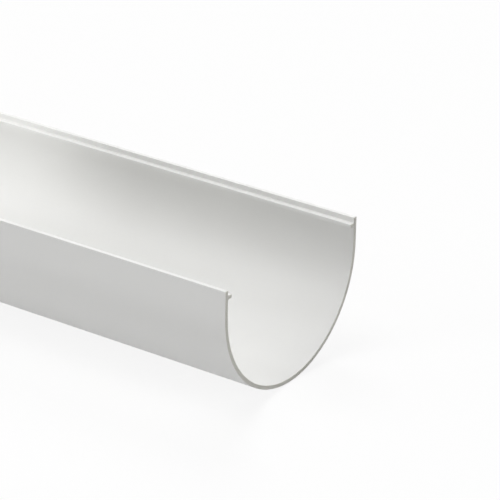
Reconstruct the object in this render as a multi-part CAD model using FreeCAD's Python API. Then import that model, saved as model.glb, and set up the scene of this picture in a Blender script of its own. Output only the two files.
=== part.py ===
"""Half-round rainwater gutter length, extruded in rigid PVC and sawn square at both ends.

The section is one continuous wall: a true half circle below, two short upright sides above it, a flat rim
on top of each side, and just under each rim a small square ledge that points into the trough. Brackets and
union clips hook over the rim and catch on that ledge. The section is the same along the whole length.

Row frame, in millimetres: +X along the gutter, +Y across it, +Z up. The origin is on the lowest line of the
outside, halfway along the length.
"""

import os

import FreeCAD
import Part

# Driving sizes of the stock
LENGTH = 2000.0  # one stock length, sawn square
WIDTH = 125.0  # across the outside of the two sides
DEPTH = 78.0  # lowest line of the outside up to the rims
WALL = 2.3  # the same all round the section

# Clip ledge, the same inside each side
LEDGE_DROP = 3.2  # rim down to the ledge's upper face
LEDGE_REACH = 3.2  # how far the ledge stands into the trough
LEDGE_THICKNESS = 2.1

# Small roundings that the extrusion die leaves
RIM_RADIUS = 0.3  # both long edges of each rim
LEDGE_RADIUS = 0.25  # both long edges of each ledge's nose
ROOT_RADIUS = 0.4  # where a ledge grows out of the wall, above and below

# Sizes that follow from the ones above
OUTER_RADIUS = WIDTH / 2  # the half circle runs tangent into both sides
INNER_RADIUS = OUTER_RADIUS - WALL
ARC_CENTRE_Z = OUTER_RADIUS  # the lowest line of the outside is at Z = 0
LEDGE_TOP_Z = DEPTH - LEDGE_DROP
LEDGE_UNDERSIDE_Z = LEDGE_TOP_Z - LEDGE_THICKNESS
LEDGE_NOSE_Y = INNER_RADIUS - LEDGE_REACH

SIDES = (1, -1)  # the side towards +Y, then the one towards -Y
SAME_PLACE = 1e-6  # mm, closer than this is the same corner


def section_point(y, z):
    """A point of the cross-section, in the plane of the end at -X."""
    return FreeCAD.Vector(-LENGTH / 2, y, z)


def straight_run(corners):
    """Straight edges through the given (y, z) corners, in order."""
    points = [section_point(y, z) for y, z in corners]
    return [Part.LineSegment(start, end).toShape() for start, end in zip(points, points[1:])]


def half_round(radius):
    """Half circle under the arc centre, from the +Y side round to the -Y side."""
    right, bottom, left = (
        section_point(radius, ARC_CENTRE_Z),
        section_point(0, ARC_CENTRE_Z - radius),
        section_point(-radius, ARC_CENTRE_Z),
    )
    return Part.Arc(right, bottom, left).toShape()


def side_corners(side):
    """Corners of one side, from the outer end of the half circle over the rim and ledge to its inner end."""
    return [
        (side * OUTER_RADIUS, ARC_CENTRE_Z),
        (side * OUTER_RADIUS, DEPTH),
        (side * INNER_RADIUS, DEPTH),
        (side * INNER_RADIUS, LEDGE_TOP_Z),
        (side * LEDGE_NOSE_Y, LEDGE_TOP_Z),
        (side * LEDGE_NOSE_Y, LEDGE_UNDERSIDE_Z),
        (side * INNER_RADIUS, LEDGE_UNDERSIDE_Z),
        (side * INNER_RADIUS, ARC_CENTRE_Z),
    ]


def sharp_extrusion():
    """The full section pushed along the length, with every corner still sharp."""
    right_side, left_side = (straight_run(side_corners(side)) for side in SIDES)
    edges = [half_round(OUTER_RADIUS), *left_side, half_round(INNER_RADIUS), *right_side]
    outline = Part.Wire(Part.__sortEdges__(edges))
    return Part.Face(outline).extrude(FreeCAD.Vector(LENGTH, 0, 0))


def lengthwise_edges(body, corners):
    """The long edges of the body that stand on the given (y, z) corners of the section."""
    found = []
    for edge in body.Edges:
        middle = edge.CenterOfMass
        on_corner = any(abs(middle.y - y) + abs(middle.z - z) < SAME_PLACE for y, z in corners)
        if on_corner and abs(edge.Length - LENGTH) < SAME_PLACE:
            found.append(edge)
    return found


def rounded(body, radius, corners):
    """The body with the long edges on the given corners rounded or filleted to one radius."""
    return body.makeFillet(radius, lengthwise_edges(body, corners))


def gutter():
    """The finished gutter length."""
    rims, noses, roots = [], [], []
    for side in SIDES:
        _, rim_out, rim_in, root_top, nose_top, nose_under, root_under, _ = side_corners(side)
        rims += [rim_out, rim_in]
        noses += [nose_top, nose_under]
        roots += [root_top, root_under]
    body = sharp_extrusion()
    body = rounded(body, RIM_RADIUS, rims)
    body = rounded(body, LEDGE_RADIUS, noses)
    return rounded(body, ROOT_RADIUS, roots)


os.makedirs("parts", exist_ok=True)
gutter().exportStep("parts/gutter.step")
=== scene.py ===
"""Dressed model of a half-round rainwater gutter length, extruded in white rigid PVC and sawn square.

Laid out as an add-on, and run as a script. Every length is in metres in the part's own frame: +X along the
gutter, +Y across it, +Z up, with the origin on the lowest line of the outside, halfway along.
"""

import math

import bpy
from bpy.props import FloatProperty, FloatVectorProperty, IntProperty, PointerProperty
from mathutils import Matrix, Vector


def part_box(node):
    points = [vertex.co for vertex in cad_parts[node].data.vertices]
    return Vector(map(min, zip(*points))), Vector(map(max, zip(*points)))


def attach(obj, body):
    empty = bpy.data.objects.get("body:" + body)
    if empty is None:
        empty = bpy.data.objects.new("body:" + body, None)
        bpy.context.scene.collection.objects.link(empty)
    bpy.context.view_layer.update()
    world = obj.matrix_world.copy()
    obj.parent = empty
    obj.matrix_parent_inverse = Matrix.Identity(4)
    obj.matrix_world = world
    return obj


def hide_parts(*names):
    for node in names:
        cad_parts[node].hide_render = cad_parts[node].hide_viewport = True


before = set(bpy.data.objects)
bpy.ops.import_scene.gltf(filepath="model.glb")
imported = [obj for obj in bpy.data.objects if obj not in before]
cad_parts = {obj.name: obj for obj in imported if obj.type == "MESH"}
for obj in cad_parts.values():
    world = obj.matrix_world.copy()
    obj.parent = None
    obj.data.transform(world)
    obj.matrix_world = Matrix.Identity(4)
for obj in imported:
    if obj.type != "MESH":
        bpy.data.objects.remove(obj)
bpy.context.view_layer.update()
LOWEST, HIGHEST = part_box("gutter")
MM = 0.001

bl_info = {
    "name": "Half-Round Gutter Length",
    "version": (1, 0, 0),
    "blender": (4, 5, 0),
    "location": "3D View > Sidebar > Gutter",
    "description": "Builds a sawn length of half-round PVC gutter with clip ledges, and a stage for it",
    "category": "Object",
}


def linear(hex_colour):
    """Linear red, green and blue of an sRGB hex colour."""
    channels = [int(hex_colour[i : i + 2], 16) / 255 for i in (1, 3, 5)]
    return tuple(c / 12.92 if c <= 0.04045 else ((c + 0.055) / 1.055) ** 2.4 for c in channels)


def add_node(tree, kind, settings=None, inputs=None):
    """Adds a node, sets its settings, then fills its sockets, by name or number, with links or values."""
    made = tree.nodes.new(kind)
    for name, value in (settings or {}).items():
        setattr(made, name, value)
    for name, value in (inputs or {}).items():
        socket = made.inputs[name]
        if isinstance(value, bpy.types.NodeSocket):
            tree.links.new(value, socket)
        else:
            socket.default_value = value
    return made


# ---------------------------------------------------------------- what a user would change


class GutterSizes(bpy.types.PropertyGroup):
    """Sizes of the extruded section and of the length that is sawn from it."""

    length: FloatProperty(
        name="Length",
        description="From sawn end to sawn end",
        default=HIGHEST.x - LOWEST.x,
        min=50 * MM,
        unit="LENGTH",
    )
    width: FloatProperty(
        name="Width",
        description="Across the outside of the two sides",
        default=HIGHEST.y - LOWEST.y,
        min=40 * MM,
        unit="LENGTH",
    )
    depth: FloatProperty(
        name="Depth",
        description="From the lowest line of the outside up to the rims",
        default=HIGHEST.z,
        min=30 * MM,
        unit="LENGTH",
    )
    wall: FloatProperty(
        name="Wall",
        description="Thickness of the wall, the same all round",
        default=2.3 * MM,
        min=0.5 * MM,
        unit="LENGTH",
    )
    ledge_drop: FloatProperty(
        name="Ledge Drop",
        description="From the rim down to the upper face of the clip ledge",
        default=3.2 * MM,
        unit="LENGTH",
    )
    ledge_reach: FloatProperty(
        name="Ledge Reach",
        description="How far the clip ledge stands into the trough",
        default=3.2 * MM,
        unit="LENGTH",
    )
    ledge_thickness: FloatProperty(
        name="Ledge Thickness",
        description="Height of the clip ledge",
        default=2.1 * MM,
        unit="LENGTH",
    )
    rim_radius: FloatProperty(
        name="Rim Radius",
        description="Rounding of both long edges of each rim",
        default=0.3 * MM,
        unit="LENGTH",
    )
    ledge_radius: FloatProperty(
        name="Ledge Radius",
        description="Rounding of both long edges of the ledge's nose",
        default=0.25 * MM,
        unit="LENGTH",
    )
    root_radius: FloatProperty(
        name="Root Radius",
        description="Fillet where the ledge grows out of the wall",
        default=0.4 * MM,
        unit="LENGTH",
    )
    saw_arris: FloatProperty(
        name="Saw Arris",
        description="Rounding left on the edges of a sawn end once its burr is scraped off",
        default=0.2 * MM,
        unit="LENGTH",
    )
    station_spacing: FloatProperty(
        name="Station Spacing",
        description="Between the cross-sections of the mesh",
        default=50 * MM,
        min=5 * MM,
        unit="LENGTH",
    )
    bend_steps: IntProperty(
        name="Bend Steps",
        description="Faces in each quarter of the half round",
        default=48,
        min=4,
    )
    rounding_steps: IntProperty(
        name="Rounding Steps",
        description="Faces in each small rounding of the section",
        default=5,
        min=1,
    )


class GutterFinish(bpy.types.PropertyGroup):
    """Colours of the plastic."""

    skin: FloatVectorProperty(
        name="Extruded Skin",
        description="Colour of the satin surface that the die leaves",
        default=linear("#F0F0EE"),
        min=0,
        max=1,
        size=3,
        subtype="COLOR",
    )
    # Painted shade: this tone is darker and creamier than the skin to stand in for the warm shade on the
    # sawn end
    sawn: FloatVectorProperty(
        name="Sawn Face",
        description="Colour of the dull, slightly creamy cut through the wall",
        default=linear("#EEEDE6"),
        min=0,
        max=1,
        size=3,
        subtype="COLOR",
    )
    # The tooth marks are real, but this darker colour is also painted shade on the sawn end
    tooth_marks_and_shade: FloatVectorProperty(
        name="Tooth Marks",
        description="Colour of the sawn face where the teeth have torn it",
        default=linear("#DAD8CD"),
        min=0,
        max=1,
        size=3,
        subtype="COLOR",
    )


class GutterStage(bpy.types.PropertyGroup):
    """Colour of the place where the gutter is shown."""

    floor: FloatVectorProperty(
        name="Floor",
        description="Colour of the matt studio floor",
        default=linear("#DCDCDC"),
        min=0,
        max=1,
        size=3,
        subtype="COLOR",
    )


# ---------------------------------------------------------------- materials

PVC_IOR = 1.54
WHITE = (1, 1, 1, 1)
MIX_A, MIX_B, MIX_RESULT = 6, 7, 2  # a Mix node's sockets for colours


def empty_material(name):
    """A new material with nothing in its node tree, and that tree."""
    made = bpy.data.materials.new(name)
    made.use_nodes = True
    made.node_tree.nodes.clear()
    return made, made.node_tree


def streaks(tree, place, width, length, detail, roughness):
    """Noise drawn out along the gutter, in streaks of one width and length."""
    drawn_out = add_node(
        tree,
        "ShaderNodeMapping",
        inputs={"Vector": place, "Scale": (1 / length, 1 / width, 1 / width)},
    ).outputs["Vector"]
    return add_node(
        tree,
        "ShaderNodeTexNoise",
        inputs={"Vector": drawn_out, "Scale": 1.0, "Detail": detail, "Roughness": roughness},
    ).outputs["Fac"]


def relief(tree, layers):
    """Normal of a surface with layers of relief on each other, each given as its pattern and its depth."""
    below = {}
    for pattern, depth in layers:
        bump = add_node(
            tree,
            "ShaderNodeBump",
            inputs={"Height": pattern, "Strength": 1.0, "Distance": depth, **below},
        )
        below = {"Normal": bump.outputs["Normal"]}
    return below["Normal"]


def shade_as_pvc(tree, colour, roughness, normal):
    """Ends a material's tree in the shader of an opaque rigid plastic."""
    shader = add_node(
        tree,
        "ShaderNodeBsdfPrincipled",
        inputs={"Base Color": colour, "Roughness": roughness, "IOR": PVC_IOR, "Normal": normal},
    )
    add_node(tree, "ShaderNodeOutputMaterial", inputs={"Surface": shader.outputs["BSDF"]})


def extruded_pvc(colour):
    """Extruded white rigid PVC, filled with titanium white, pushed through a die and cooled in a sleeve.

    To the eye: an opaque, very slightly warm white with a satin gloss. The die leaves faint lines that run
    the whole length, the sleeve a slow unevenness between them, and the gloss comes and goes with both.
    """
    made, tree = empty_material("extruded_white_rigid_pvc")
    place = add_node(tree, "ShaderNodeTexCoord").outputs["Object"]

    # Die lines are about a tenth of this wide on the real thing, too fine to show, and drawn coarser here
    line_width, line_length, line_depth = 1.3 * MM, 700 * MM, 0.02 * MM
    lines = streaks(tree, place, line_width, line_length, detail=2.0, roughness=0.6)

    # The unevenness of the cooling sleeve: patches as wide as a finger and several times as long
    patch_width, patch_length, patch_depth = 22 * MM, 130 * MM, 0.12 * MM
    patches = streaks(tree, place, patch_width, patch_length, detail=1.0, roughness=0.5)

    darkest, lightest = 0.975, 1.015
    shade = add_node(
        tree, "ShaderNodeMapRange", inputs={"Value": patches, "To Min": darkest, "To Max": lightest}
    ).outputs["Result"]
    body = add_node(
        tree, "ShaderNodeVectorMath", {"operation": "SCALE"}, {0: tuple(colour), "Scale": shade}
    ).outputs["Vector"]

    shiniest, dullest = 0.34, 0.50
    both = add_node(
        tree, "ShaderNodeMath", {"operation": "ADD"}, {0: lines, 1: patches}
    ).outputs[0]
    roughness = add_node(
        tree,
        "ShaderNodeMapRange",
        inputs={"Value": both, "From Max": 2.0, "To Min": shiniest, "To Max": dullest},
    ).outputs["Result"]

    normal = relief(tree, ((patches, patch_depth), (lines, line_depth)))
    shade_as_pvc(tree, body, roughness, normal)
    return made


def sawn_pvc(colour, tooth_marks_and_shade):
    """Sawn rigid PVC: the cut that a fine-toothed saw makes straight through the wall.

    To the eye: dull, with close, nearly level tooth marks and a fuzz of torn plastic between them. The
    marks are real, but the tone that is darker and creamier than the skin's, and darker still in the marks,
    is painted shade for an end that faces away from the lamps.
    """
    made, tree = empty_material("sawn_rigid_pvc")
    place = add_node(tree, "ShaderNodeTexCoord").outputs["Object"]

    # The marks of a fine saw are about half as wide as this, too close to show, and drawn coarser here. The
    # wave comes round once every 2 pi / 20 of its coordinate.
    mark_width, mark_depth, blade_tilt = 0.9 * MM, 0.03 * MM, math.radians(12)
    tilted = add_node(
        tree, "ShaderNodeMapping", inputs={"Vector": place, "Rotation": (blade_tilt, 0, 0)}
    ).outputs["Vector"]
    marks = add_node(
        tree,
        "ShaderNodeTexWave",
        {"bands_direction": "Z"},
        {
            "Vector": tilted,
            "Scale": 2 * math.pi / 20 / mark_width,
            "Distortion": 3.0,
            "Detail": 2.0,
            "Detail Scale": 1.5,
        },
    ).outputs["Fac"]

    fuzz_size, fuzz_depth = 0.35 * MM, 0.03 * MM
    fuzz = add_node(
        tree,
        "ShaderNodeTexNoise",
        inputs={"Vector": place, "Scale": 1 / fuzz_size, "Detail": 3.0, "Roughness": 0.65},
    ).outputs["Fac"]

    # Where the tooth marks tear the face it takes the darker colour, which is partly painted shade
    torn = add_node(
        tree, "ShaderNodeMath", {"operation": "MULTIPLY"}, {0: marks, 1: fuzz}
    ).outputs[0]
    body = add_node(
        tree,
        "ShaderNodeMix",
        {"data_type": "RGBA"},
        {0: torn, MIX_A: (*colour, 1), MIX_B: (*tooth_marks_and_shade, 1)},
    ).outputs[MIX_RESULT]

    shiniest, dullest = 0.65, 0.85
    roughness = add_node(
        tree, "ShaderNodeMapRange", inputs={"Value": fuzz, "To Min": shiniest, "To Max": dullest}
    ).outputs["Result"]

    normal = relief(tree, ((marks, mark_depth), (fuzz, fuzz_depth)))
    shade_as_pvc(tree, body, roughness, normal)
    return made


def seen_or_mirrored(tree):
    """1 for the rays that show a surface, directly, in a gloss or through glass, and 0 for all others."""
    path = add_node(tree, "ShaderNodeLightPath").outputs
    seen = path["Is Camera Ray"]
    for ray in ("Is Glossy Ray", "Is Transmission Ray"):
        seen = add_node(
            tree, "ShaderNodeMath", {"operation": "MAXIMUM"}, {0: seen, 1: path[ray]}
        ).outputs[0]
    return seen


def matt_studio_floor(colour):
    """Matt painted floor. It lights the gutter from below with its own colour, and shows as nearly white
    with the soft shadow of the gutter on it.
    """
    made, tree = empty_material("matt_studio_floor")
    seen = seen_or_mirrored(tree)
    tint = add_node(
        tree,
        "ShaderNodeMix",
        {"data_type": "RGBA"},
        {0: seen, MIX_A: (*colour, 1), MIX_B: WHITE},
    ).outputs[MIX_RESULT]
    paint = add_node(tree, "ShaderNodeBsdfDiffuse", inputs={"Color": tint})
    white = add_node(tree, "ShaderNodeEmission", inputs={"Color": WHITE, "Strength": 1})

    whitening = 0.88
    share = add_node(tree, "ShaderNodeMath", {"operation": "MULTIPLY"}, {0: seen, 1: whitening})
    mix = add_node(
        tree,
        "ShaderNodeMixShader",
        inputs={0: share.outputs[0], 1: paint.outputs[0], 2: white.outputs[0]},
    )
    add_node(tree, "ShaderNodeOutputMaterial", inputs={"Surface": mix.outputs[0]})
    return made


# ---------------------------------------------------------------- the gutter length

ARRIS_STEPS = 2  # faces round the arris of a sawn end
ARRIS_SHARE = 0.8  # the most that the arris may take of a rounding
MERGE_DISTANCE = 0.01 * MM
SAWN_FACING = 0.3  # a face that looks along the gutter by more than this is the saw's
WIDE_FACE_WEIGHT = 100  # the widest faces rule the shading at their edges, where 50 would be neutral
COMPARE_A, COMPARE_B = 2, 3  # a Compare node's sockets for whole numbers


def size_properties():
    """The sizes in order. Each is an input of the geometry nodes too, under the name that it shows."""
    return [GutterSizes.bl_rna.properties[name] for name in GutterSizes.__annotations__]


def side_corners(tree, given):
    """Corners of one side before rounding, from the outside over rim and ledge to the inside. Each is given
    as its place across, its height and its radius.

    The first and the last are each as wide as their bend, and so round into a quarter of the half round.
    """
    at = dict(given.items())
    at["Side"] = add_node(
        tree, "ShaderNodeMath", {"operation": "MULTIPLY"}, {0: given["Width"], 1: 0.5}
    ).outputs[0]
    for name, whole, less in (
        ("Inside", "Side", "Wall"),
        ("Nose", "Inside", "Ledge Reach"),
        ("Ledge Top", "Depth", "Ledge Drop"),
        ("Ledge Underside", "Ledge Top", "Ledge Thickness"),
    ):
        at[name] = add_node(
            tree, "ShaderNodeMath", {"operation": "SUBTRACT"}, {0: at[whole], 1: at[less]}
        ).outputs[0]
    return (
        (at["Side"], 0.0, at["Side"]),
        (at["Side"], at["Depth"], at["Rim Radius"]),
        (at["Inside"], at["Depth"], at["Rim Radius"]),
        (at["Inside"], at["Ledge Top"], at["Root Radius"]),
        (at["Nose"], at["Ledge Top"], at["Ledge Radius"]),
        (at["Nose"], at["Ledge Underside"], at["Ledge Radius"]),
        (at["Inside"], at["Ledge Underside"], at["Root Radius"]),
        (at["Inside"], at["Wall"], at["Inside"]),
    )


def section_outline(tree, given):
    """The rounded outline of the section as one closed curve, X across and Y up, and the direction outwards
    at each of its points.
    """
    corners = side_corners(tree, given)

    # The far side takes the corners in order, and the near side takes them back again, mirrored
    index = add_node(tree, "GeometryNodeInputIndex").outputs["Index"]
    on_far_side = add_node(
        tree,
        "FunctionNodeCompare",
        {"data_type": "INT", "operation": "LESS_THAN"},
        {COMPARE_A: index, COMPARE_B: len(corners)},
    ).outputs["Result"]
    back_again = add_node(
        tree, "ShaderNodeMath", {"operation": "SUBTRACT"}, {0: 2.0 * len(corners) - 1, 1: index}
    ).outputs[0]
    corner = add_node(
        tree,
        "GeometryNodeSwitch",
        {"input_type": "INT"},
        {"Switch": on_far_side, "False": back_again, "True": index},
    ).outputs["Output"]
    side = add_node(
        tree,
        "GeometryNodeSwitch",
        {"input_type": "FLOAT"},
        {"Switch": on_far_side, "False": -1.0, "True": 1.0},
    ).outputs["Output"]

    places = add_node(tree, "GeometryNodeIndexSwitch", {"data_type": "VECTOR"}, {"Index": corner})
    radii = add_node(tree, "GeometryNodeIndexSwitch", {"data_type": "FLOAT"}, {"Index": corner})
    for number, (across, up, radius) in enumerate(corners):
        if number >= 2:  # a new switch comes with two items
            places.index_switch_items.new()
            radii.index_switch_items.new()
        place = add_node(tree, "ShaderNodeCombineXYZ", inputs={0: across, 1: up}).outputs[0]
        tree.links.new(place, places.inputs[number + 1])
        tree.links.new(radius, radii.inputs[number + 1])
    to_side = add_node(tree, "ShaderNodeCombineXYZ", inputs={0: side, 1: 1.0, 2: 1.0}).outputs[0]
    place = add_node(
        tree, "ShaderNodeVectorMath", {"operation": "MULTIPLY"}, {0: places.outputs[0], 1: to_side}
    ).outputs[0]

    line = add_node(tree, "GeometryNodeMeshLine", inputs={"Count": 2 * len(corners)})
    line = add_node(tree, "GeometryNodeMeshToCurve", inputs={"Mesh": line.outputs["Mesh"]})
    line = add_node(
        tree,
        "GeometryNodeSetPosition",
        inputs={"Geometry": line.outputs["Curve"], "Position": place},
    )
    line = add_node(
        tree,
        "GeometryNodeSetSplineCyclic",
        inputs={"Geometry": line.outputs["Geometry"], "Cyclic": True},
    )
    wide = add_node(
        tree,
        "FunctionNodeCompare",
        {"data_type": "FLOAT", "operation": "GREATER_THAN"},
        {0: radii.outputs[0], 1: given["Wall"]},
    ).outputs["Result"]
    steps = add_node(
        tree,
        "GeometryNodeSwitch",
        {"input_type": "INT"},
        {"Switch": wide, "False": given["Rounding Steps"], "True": given["Bend Steps"]},
    ).outputs["Output"]
    outline = add_node(
        tree,
        "GeometryNodeFilletCurve",
        {"mode": "POLY"},
        {
            "Curve": line.outputs["Geometry"],
            "Count": steps,
            "Radius": radii.outputs[0],
            "Limit Radius": False,
        },
    ).outputs["Curve"]

    # The outline runs anticlockwise as seen from the +X end, so outwards is to the right of the way it runs.
    # Once swept, its X is the gutter's Y and its Y the gutter's Z.
    way = add_node(tree, "GeometryNodeInputTangent").outputs["Tangent"]
    way = add_node(tree, "ShaderNodeSeparateXYZ", inputs={0: way}).outputs
    down = add_node(
        tree, "ShaderNodeMath", {"operation": "MULTIPLY"}, {0: way["X"], 1: -1.0}
    ).outputs[0]
    outwards = add_node(tree, "ShaderNodeCombineXYZ", inputs={"Y": way["Y"], "Z": down}).outputs[0]
    kept = add_node(tree, "GeometryNodeCaptureAttribute", inputs={"Geometry": outline})
    kept.capture_items.new("VECTOR", "Outwards")
    tree.links.new(outwards, kept.inputs["Outwards"])
    return kept.outputs["Geometry"], kept.outputs["Outwards"]


def arris_width(tree, given):
    """Width of the arris of a sawn end. One wider than a rounding that it runs round would fold the cut
    over itself there, so it takes no more than a share of the smallest rounding.
    """
    width = given["Saw Arris"]
    for rounding in ("Rim Radius", "Ledge Radius"):
        widest = add_node(
            tree, "ShaderNodeMath", {"operation": "MULTIPLY"}, {0: given[rounding], 1: ARRIS_SHARE}
        ).outputs[0]
        width = add_node(
            tree, "ShaderNodeMath", {"operation": "MINIMUM"}, {0: width, 1: widest}
        ).outputs[0]
    return width


def rail_along(tree, given):
    """The line that the section is swept along, and how far the section draws in at each of its stations.

    The stations are even, but for the last few at each end, which stand close together round the arris.
    """
    half_length = add_node(
        tree, "ShaderNodeMath", {"operation": "MULTIPLY"}, {0: given["Length"], 1: 0.5}
    ).outputs[0]
    ends = {}
    for name, direction in (("Start", (-1, 0, 0)), ("End", (1, 0, 0))):
        ends[name] = add_node(
            tree, "ShaderNodeVectorMath", {"operation": "SCALE"}, {0: direction, "Scale": half_length}
        ).outputs["Vector"]
    spans = add_node(
        tree,
        "ShaderNodeMath",
        {"operation": "DIVIDE"},
        {0: given["Length"], 1: given["Station Spacing"]},
    ).outputs[0]
    stations = add_node(
        tree, "ShaderNodeMath", {"operation": "ADD"}, {0: spans, 1: 2.0 * ARRIS_STEPS + 1}
    ).outputs[0]
    stations = add_node(
        tree, "FunctionNodeFloatToInt", {"rounding_mode": "CEILING"}, {0: stations}
    ).outputs[0]
    rail = add_node(tree, "GeometryNodeCurvePrimitiveLine", inputs=ends).outputs["Curve"]
    rail = add_node(
        tree, "GeometryNodeResampleCurve", inputs={"Curve": rail, "Count": stations}
    ).outputs["Curve"]

    # How many stations each one is from the nearer end
    index = add_node(tree, "GeometryNodeInputIndex").outputs["Index"]
    last = add_node(tree, "ShaderNodeMath", {"operation": "SUBTRACT"}, {0: stations, 1: 1.0})
    from_far = add_node(
        tree, "ShaderNodeMath", {"operation": "SUBTRACT"}, {0: last.outputs[0], 1: index}
    )
    from_end = add_node(
        tree, "ShaderNodeMath", {"operation": "MINIMUM"}, {0: index, 1: from_far.outputs[0]}
    ).outputs[0]

    # The arris is a quarter turn: the stations go back from the end as the section grows to its full size
    turn = add_node(
        tree,
        "ShaderNodeMapRange",
        inputs={"Value": from_end, "From Max": float(ARRIS_STEPS), "To Max": math.pi / 2},
    ).outputs[0]
    width = arris_width(tree, given)
    moves = []
    for operation in ("COSINE", "SINE"):
        wave = add_node(tree, "ShaderNodeMath", {"operation": operation}, {0: turn}).outputs[0]
        share = add_node(
            tree, "ShaderNodeMath", {"operation": "SUBTRACT"}, {0: 1.0, 1: wave}
        ).outputs[0]
        moves.append(
            add_node(
                tree, "ShaderNodeMath", {"operation": "MULTIPLY"}, {0: share, 1: width}
            ).outputs[0]
        )
    setback, inset = moves

    reach = add_node(
        tree, "ShaderNodeMath", {"operation": "SUBTRACT"}, {0: half_length, 1: setback}
    ).outputs[0]
    along = add_node(tree, "GeometryNodeInputPosition").outputs[0]
    along = add_node(tree, "ShaderNodeSeparateXYZ", inputs={0: along}).outputs["X"]
    end_sign = add_node(tree, "ShaderNodeMath", {"operation": "SIGN"}, {0: along}).outputs[0]
    along = add_node(
        tree, "ShaderNodeMath", {"operation": "MULTIPLY"}, {0: reach, 1: end_sign}
    ).outputs[0]
    place = add_node(tree, "ShaderNodeCombineXYZ", inputs={0: along}).outputs[0]
    in_arris = add_node(
        tree,
        "FunctionNodeCompare",
        {"data_type": "FLOAT", "operation": "LESS_EQUAL"},
        {0: from_end, 1: float(ARRIS_STEPS)},
    ).outputs["Result"]
    kept = add_node(tree, "GeometryNodeCaptureAttribute", inputs={"Geometry": rail})
    kept.capture_items.new("FLOAT", "Inset")
    tree.links.new(inset, kept.inputs["Inset"])
    rail = add_node(
        tree,
        "GeometryNodeSetPosition",
        inputs={"Geometry": kept.outputs["Geometry"], "Selection": in_arris, "Position": place},
    ).outputs["Geometry"]
    # A curve's own up points down here, so half a turn of tilt sets the section upright
    rail = add_node(
        tree, "GeometryNodeSetCurveTilt", inputs={"Curve": rail, "Tilt": math.pi}
    ).outputs["Curve"]
    return rail, kept.outputs["Inset"]


def swept(tree, outline, outwards, rail, inset):
    """The outline swept along the rail and drawn in round the arris, with its two ends closed."""
    mesh = add_node(
        tree,
        "GeometryNodeCurveToMesh",
        inputs={"Curve": rail, "Profile Curve": outline, "Fill Caps": True},
    ).outputs["Mesh"]
    # Two roundings meet in one point wherever nothing straight is left between them
    mesh = add_node(
        tree, "GeometryNodeMergeByDistance", inputs={"Geometry": mesh, "Distance": MERGE_DISTANCE}
    ).outputs["Geometry"]
    inset = add_node(tree, "ShaderNodeMath", {"operation": "MULTIPLY"}, {0: inset, 1: -1.0})
    inwards = add_node(
        tree, "ShaderNodeVectorMath", {"operation": "SCALE"}, {0: outwards, "Scale": inset.outputs[0]}
    ).outputs[0]
    mesh = add_node(
        tree, "GeometryNodeSetPosition", inputs={"Geometry": mesh, "Offset": inwards}
    ).outputs["Geometry"]

    # The faces between stations have four corners, and the two ends have many more
    corner_count = add_node(tree, "GeometryNodeCornersOfFace").outputs["Total"]
    is_end = add_node(
        tree,
        "FunctionNodeCompare",
        {"data_type": "INT", "operation": "GREATER_THAN"},
        {COMPARE_A: corner_count, COMPARE_B: 4},
    ).outputs["Result"]
    return add_node(
        tree,
        "GeometryNodeTriangulate",
        {"ngon_method": "BEAUTY"},
        {"Mesh": mesh, "Selection": is_end},
    ).outputs["Mesh"]


def dressed(tree, given, mesh):
    """The mesh with its skin, and with the sawn face wherever it looks along the gutter."""
    real = add_node(tree, "GeometryNodeRealizeInstances", inputs={"Geometry": mesh})
    skinned = add_node(
        tree,
        "GeometryNodeSetMaterial",
        inputs={"Geometry": real.outputs["Geometry"], "Material": given["Skin"]},
    )
    facing = add_node(tree, "GeometryNodeInputNormal").outputs["True Normal"]
    facing = add_node(tree, "ShaderNodeSeparateXYZ", inputs={0: facing}).outputs["X"]
    facing = add_node(tree, "ShaderNodeMath", {"operation": "ABSOLUTE"}, {0: facing}).outputs[0]
    sawn = add_node(
        tree,
        "FunctionNodeCompare",
        {"data_type": "FLOAT", "operation": "GREATER_THAN"},
        {0: facing, 1: SAWN_FACING},
    ).outputs["Result"]
    return add_node(
        tree,
        "GeometryNodeSetMaterial",
        inputs={
            "Geometry": skinned.outputs["Geometry"],
            "Selection": sawn,
            "Material": given["Sawn Face"],
        },
    ).outputs["Geometry"]


def gutter_tree():
    """Geometry nodes that draw the section as one closed outline and sweep it from sawn end to sawn end."""
    tree = bpy.data.node_groups.new("gutter_length", "GeometryNodeTree")
    sockets = {"FLOAT": "NodeSocketFloat", "INT": "NodeSocketInt"}
    for size in size_properties():
        tree.interface.new_socket(size.name, in_out="INPUT", socket_type=sockets[size.type])
    for name in ("Skin", "Sawn Face"):
        tree.interface.new_socket(name, in_out="INPUT", socket_type="NodeSocketMaterial")
    tree.interface.new_socket("Geometry", in_out="OUTPUT", socket_type="NodeSocketGeometry")

    given = add_node(tree, "NodeGroupInput").outputs
    outline, outwards = section_outline(tree, given)
    rail, inset = rail_along(tree, given)
    mesh = swept(tree, outline, outwards, rail, inset)
    add_node(tree, "NodeGroupOutput", inputs={"Geometry": dressed(tree, given, mesh)})
    return tree


def plain_mesh(name, tree, values):
    """Runs a geometry tree on an empty mesh and returns the result as a plain object at the origin."""
    made = bpy.data.objects.new(name, bpy.data.meshes.new(name))
    bpy.context.scene.collection.objects.link(made)
    modifier = made.modifiers.new(tree.name, "NODES")
    modifier.node_group = tree
    for item in tree.interface.items_tree:
        if item.in_out == "INPUT":
            modifier[item.identifier] = values[item.name]
    made.modifiers.new("even shading", "WEIGHTED_NORMAL").weight = WIDE_FACE_WEIGHT
    evaluated = made.evaluated_get(bpy.context.evaluated_depsgraph_get())
    mesh = bpy.data.meshes.new_from_object(evaluated)
    made.modifiers.clear()
    made.data = mesh
    mesh.name = name
    return made


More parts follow.
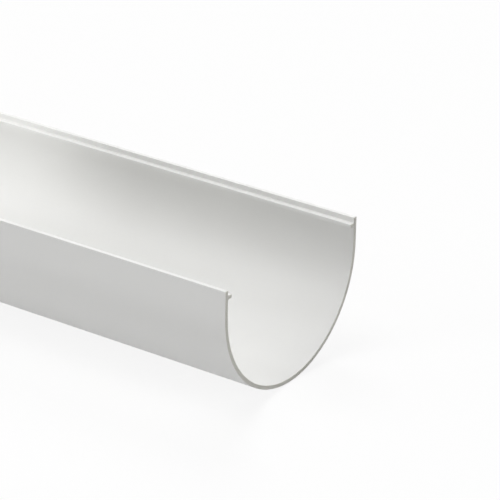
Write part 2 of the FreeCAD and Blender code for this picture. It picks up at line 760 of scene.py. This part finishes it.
class GUTTER_OT_length(bpy.types.Operator):
    """Build the gutter length in place of its plain solid"""

    bl_idname = "gutter.length"
    bl_label = "Gutter Length"

    def execute(self, context):
        sizes, finish = context.scene.gutter_sizes, context.scene.gutter_finish
        ledge_foot = sizes.depth - sizes.ledge_drop - sizes.ledge_thickness - sizes.root_radius
        if ledge_foot < sizes.width / 2:
            raise ValueError("The sides are too low: the clip ledges reach into the half round")
        values = {size.name: getattr(sizes, size.identifier) for size in size_properties()}
        values["Skin"] = extruded_pvc(finish.skin)
        values["Sawn Face"] = sawn_pvc(finish.sawn, finish.tooth_marks_and_shade)
        piece = plain_mesh("gutter_length", gutter_tree(), values)
        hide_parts("gutter")
        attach(piece, "root")
        return {"FINISHED"}


# ---------------------------------------------------------------- the stage

# The camera looks at a point by the sawn end, level with the rims. Angles are in degrees, and the lens and
# its sensor in millimetres.
AIM = Vector((0.9804, -0.0128, 0.0791))
AIM_DISTANCE = 1.6294
CAMERA_AZIMUTH, CAMERA_ELEVATION, CAMERA_ROLL = 34.79, 24.34, 1.17
CAMERA_LENS, CAMERA_SENSOR = 216.6, 36
NEAREST_SEEN, FURTHEST_SEEN = 0.05, 200

FLOOR_REACH = 40
FLOOR_GAP = 0.2 * MM  # keeps the gutter's lowest line clear of the floor

# Far-off lights, even along the whole gutter: name, azimuth, elevation and strength of each
LIGHT_WIDTH = 28  # degrees, as a large softbox close by
FAR_LIGHTS = (
    ("left_light", 315, 27, 0.64),
    ("high_left_light", 315, 70, 0.95),
    ("overhead_light", 270, 70, 0.55),
    ("rear_left_light", 225, 45, 1.22),
    ("right_light", 90, 30, 0.49),
)

# Strip lamps close by: a low one that grazes the outside and the sawn end, and one just over the near rim
# that lights the far clip ledge. The azimuth and elevation are those of the lamp, seen from its target.
STRIPS = (
    {
        "name": "low_strip",
        "target": Vector((0.9, 0, 0.06)),
        "azimuth": 330,
        "elevation": 1.2,
        "distance": 3.0,
        "width": 2.4,
        "height": 0.2,
        "watts": 10.6,
        "beam": 180,
    },
    {
        "name": "trough_strip",
        "target": Vector((-0.1, 0.0416, 0.0691)),
        "azimuth": 0,
        "elevation": 15,
        "distance": 0.1,
        "width": 1.8,
        "height": 0.03,
        "watts": 0.103,
        "beam": 60,
    },
)


def towards(azimuth, elevation):
    """Unit vector at an azimuth, anticlockwise from -Y as seen from above, and an elevation, in degrees."""
    azimuth, elevation = math.radians(azimuth), math.radians(elevation)
    return Vector(
        (
            math.sin(azimuth) * math.cos(elevation),
            -math.cos(azimuth) * math.cos(elevation),
            math.sin(elevation),
        )
    )


def add_camera():
    """Long-lens camera that looks down into the trough from beyond the sawn end."""
    back = towards(CAMERA_AZIMUTH, CAMERA_ELEVATION)
    level = towards(CAMERA_AZIMUTH + 90, 0)
    turn = Matrix((level, back.cross(level), back)).transposed()
    turn = turn @ Matrix.Rotation(math.radians(CAMERA_ROLL), 3, "Z")
    camera = bpy.data.objects.new("camera", bpy.data.cameras.new("camera"))
    bpy.context.scene.collection.objects.link(camera)
    camera.data.lens, camera.data.sensor_width = CAMERA_LENS, CAMERA_SENSOR
    camera.data.clip_start, camera.data.clip_end = NEAREST_SEEN, FURTHEST_SEEN
    camera.matrix_world = Matrix.Translation(AIM + AIM_DISTANCE * back) @ turn.to_4x4()
    bpy.context.scene.camera = camera


def add_far_light(name, azimuth, elevation, strength):
    """Wide light from one direction, the same everywhere."""
    light = bpy.data.lights.new(name, "SUN")
    light.energy, light.angle = strength, math.radians(LIGHT_WIDTH)
    lamp = bpy.data.objects.new(name, light)
    bpy.context.scene.collection.objects.link(lamp)
    lamp.rotation_euler = (-towards(azimuth, elevation)).to_track_quat("-Z", "Y").to_euler()


def add_strip(name, target, azimuth, elevation, distance, width, height, watts, beam):
    """Strip lamp that points at its target, with a beam of so many degrees, and doesn't show itself."""
    light = bpy.data.lights.new(name, "AREA")
    light.shape, light.size, light.size_y = "RECTANGLE", width, height
    light.energy, light.spread = watts, math.radians(beam)
    away = towards(azimuth, elevation)
    turn = (-away).to_track_quat("-Z", "Y").to_matrix()
    lamp = bpy.data.objects.new(name, light)
    bpy.context.scene.collection.objects.link(lamp)
    lamp.matrix_world = Matrix.Translation(target + distance * away) @ turn.to_4x4()
    lamp.visible_camera = False


def add_floor(colour):
    """Flat floor that reaches past the horizon of the lens."""
    mesh = bpy.data.meshes.new("floor")
    corners = [
        (x * FLOOR_REACH, y * FLOOR_REACH, 0) for x, y in ((-1, -1), (1, -1), (1, 1), (-1, 1))
    ]
    mesh.from_pydata(corners, [], [(0, 1, 2, 3)])
    mesh.materials.append(matt_studio_floor(colour))
    floor = bpy.data.objects.new("floor", mesh)
    floor.location.z = -FLOOR_GAP
    bpy.context.scene.collection.objects.link(floor)


def add_world():
    """White to the eye and in every gloss; the lamps alone light the gutter."""
    world = bpy.data.worlds.new("white_studio")
    world.use_nodes = True
    tree = world.node_tree
    tree.nodes.clear()
    white = add_node(
        tree,
        "ShaderNodeBackground",
        inputs={"Color": WHITE, "Strength": seen_or_mirrored(tree)},
    )
    add_node(tree, "ShaderNodeOutputWorld", inputs={"Surface": white.outputs[0]})
    bpy.context.scene.world = world


class GUTTER_OT_stage(bpy.types.Operator):
    """Lay the floor, hang the lamps and set the camera"""

    bl_idname = "gutter.stage"
    bl_label = "Stage"

    def execute(self, context):
        context.scene.view_settings.view_transform = "Standard"
        add_camera()
        add_floor(context.scene.gutter_stage.floor)
        for light in FAR_LIGHTS:
            add_far_light(*light)
        for strip in STRIPS:
            add_strip(**strip)
        add_world()
        return {"FINISHED"}


# ---------------------------------------------------------------- panel and registration


class GUTTER_PT_sidebar(bpy.types.Panel):
    """The sizes, the colours and the two operators"""

    bl_idname = "GUTTER_PT_sidebar"
    bl_label = "Half-Round Gutter"
    bl_space_type = "VIEW_3D"
    bl_region_type = "UI"
    bl_category = "Gutter"

    def draw(self, context):
        scene = context.scene
        for title, group, operator in (
            ("Sizes", scene.gutter_sizes, None),
            ("Finish", scene.gutter_finish, GUTTER_OT_length),
            ("Stage", scene.gutter_stage, GUTTER_OT_stage),
        ):
            box = self.layout.box()
            box.label(text=title)
            for name in group.__annotations__:
                box.prop(group, name)
            if operator:
                box.operator(operator.bl_idname)


CLASSES = (
    GutterSizes,
    GutterFinish,
    GutterStage,
    GUTTER_OT_length,
    GUTTER_OT_stage,
    GUTTER_PT_sidebar,
)


def register():
    for each in CLASSES:
        bpy.utils.register_class(each)
    bpy.types.Scene.gutter_sizes = PointerProperty(type=GutterSizes)
    bpy.types.Scene.gutter_finish = PointerProperty(type=GutterFinish)
    bpy.types.Scene.gutter_stage = PointerProperty(type=GutterStage)


def unregister():
    del bpy.types.Scene.gutter_sizes
    del bpy.types.Scene.gutter_finish
    del bpy.types.Scene.gutter_stage
    for each in reversed(CLASSES):
        bpy.utils.unregister_class(each)


def main():
    register()
    bpy.ops.gutter.length()
    bpy.ops.gutter.stage()


if __name__ == "__main__":
    main()
